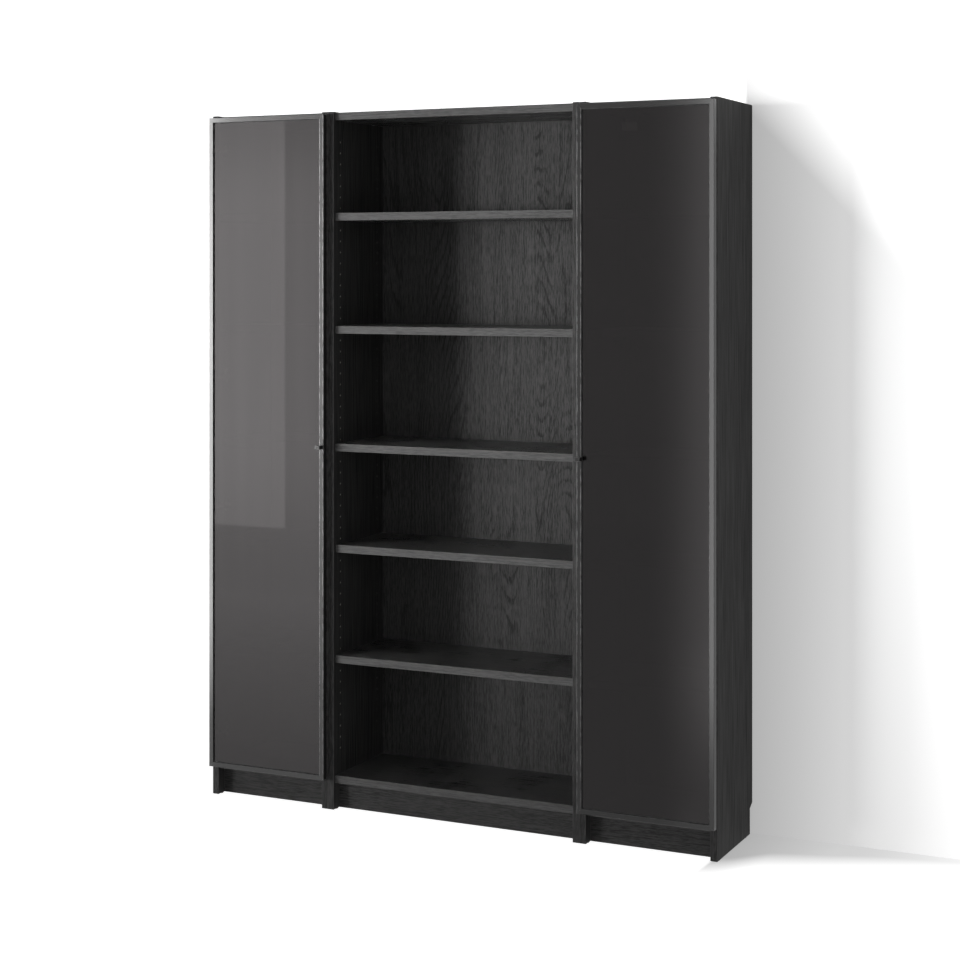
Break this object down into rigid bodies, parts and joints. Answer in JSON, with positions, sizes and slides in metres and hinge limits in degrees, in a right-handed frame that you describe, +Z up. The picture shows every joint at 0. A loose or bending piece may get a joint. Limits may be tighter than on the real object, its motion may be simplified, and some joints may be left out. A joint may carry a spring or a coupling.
{
  "type": "bookcase with glass doors",
  "caption": "Tall black-brown bookcase row: open wide cabinet with shelves between narrow cabinets, each with a tinted glass door in a slim frame and a small bar knob.",
  "frame": {"origin": "centre of the row on the floor, halfway between the knobs' front and the rear edges", "axes": "+X along the row to the right seen from the front, +Y to the back, +Z up"},
  "size_m": [1.6, 0.3204, 2.02],
  "materials": {
    "side_board": "black-brown stained oak veneer, open grain, matt",
    "shelf_board": "black-brown stained oak veneer, open grain, matt",
    "back_board": "printed dark oak grain, matt",
    "frame_black": "black satin powder coat",
    "dark_glass": "dark grey tinted, polished",
    "gasket_black": "matt black",
    "zinc": "zinc plated, dull",
    "steel": "nickel plated",
    "dowel_wood": "plain beech",
    "glide_plastic": "black"
  },
  "bodies": {
    "root": {"left_cabinet_left_side": "side_board", "left_cabinet_right_side": "side_board", "left_cabinet_top_board": "shelf_board", "left_cabinet_fixed_shelf": "shelf_board", "left_cabinet_bottom_board": "shelf_board", "left_cabinet_plinth": "shelf_board", "left_cabinet_back": "back_board", "left_cabinet_shelves": "shelf_board", "middle_cabinet_left_side": "side_board", "middle_cabinet_right_side": "side_board", "middle_cabinet_top_board": "shelf_board", "middle_cabinet_fixed_shelf": "shelf_board", "middle_cabinet_bottom_board": "shelf_board", "middle_cabinet_plinth": "shelf_board", "middle_cabinet_back": "back_board", "middle_cabinet_shelf_1": "shelf_board", "middle_cabinet_shelf_2": "shelf_board", "middle_cabinet_shelf_3": "shelf_board", "middle_cabinet_shelf_4": "shelf_board", "right_cabinet_left_side": "side_board", "right_cabinet_right_side": "side_board", "right_cabinet_top_board": "shelf_board", "right_cabinet_fixed_shelf": "shelf_board", "right_cabinet_bottom_board": "shelf_board", "right_cabinet_plinth": "shelf_board", "right_cabinet_back": "back_board", "right_cabinet_shelves": "shelf_board", "shelf_pins": "zinc", "cam_locks": "zinc", "cam_bolts": "steel", "dowels": "dowel_wood", "back_nails": "steel", "glides": "glide_plastic", "wall_brackets": "steel", "wall_bracket_screws": "steel", "hinge_mounting_plates": "steel", "hinge_screws": "steel", "hinge_arms": "steel"},
    "left_door": {"left_door_hinge_stile": "frame_black", "left_door_knob_stile": "frame_black", "left_door_top_rail": "frame_black", "left_door_bottom_rail": "frame_black", "left_door_glass": "dark_glass", "left_door_gasket": "gasket_black", "left_door_knob": "frame_black", "left_door_corner_cleats": "zinc", "left_door_hinge_shoes": "steel", "left_door_hinge_pins": "steel", "left_door_screws": "steel"},
    "right_door": {"right_door_hinge_stile": "frame_black", "right_door_knob_stile": "frame_black", "right_door_top_rail": "frame_black", "right_door_bottom_rail": "frame_black", "right_door_glass": "dark_glass", "right_door_gasket": "gasket_black", "right_door_knob": "frame_black", "right_door_corner_cleats": "zinc", "right_door_hinge_shoes": "steel", "right_door_hinge_pins": "steel", "right_door_screws": "steel"}
  },
  "joints": [
    {"name": "left_door_hinge", "type": "hinge", "parent": "root", "child": "left_door", "pos_m": [-0.7941, -0.12675, 1.05], "axis": [0, 0, -1], "range_deg": [0, 95]},
    {"name": "right_door_hinge", "type": "hinge", "parent": "root", "child": "right_door", "pos_m": [0.7941, -0.12675, 1.05], "axis": [0, 0, 1], "range_deg": [0, 95]}
  ]
}
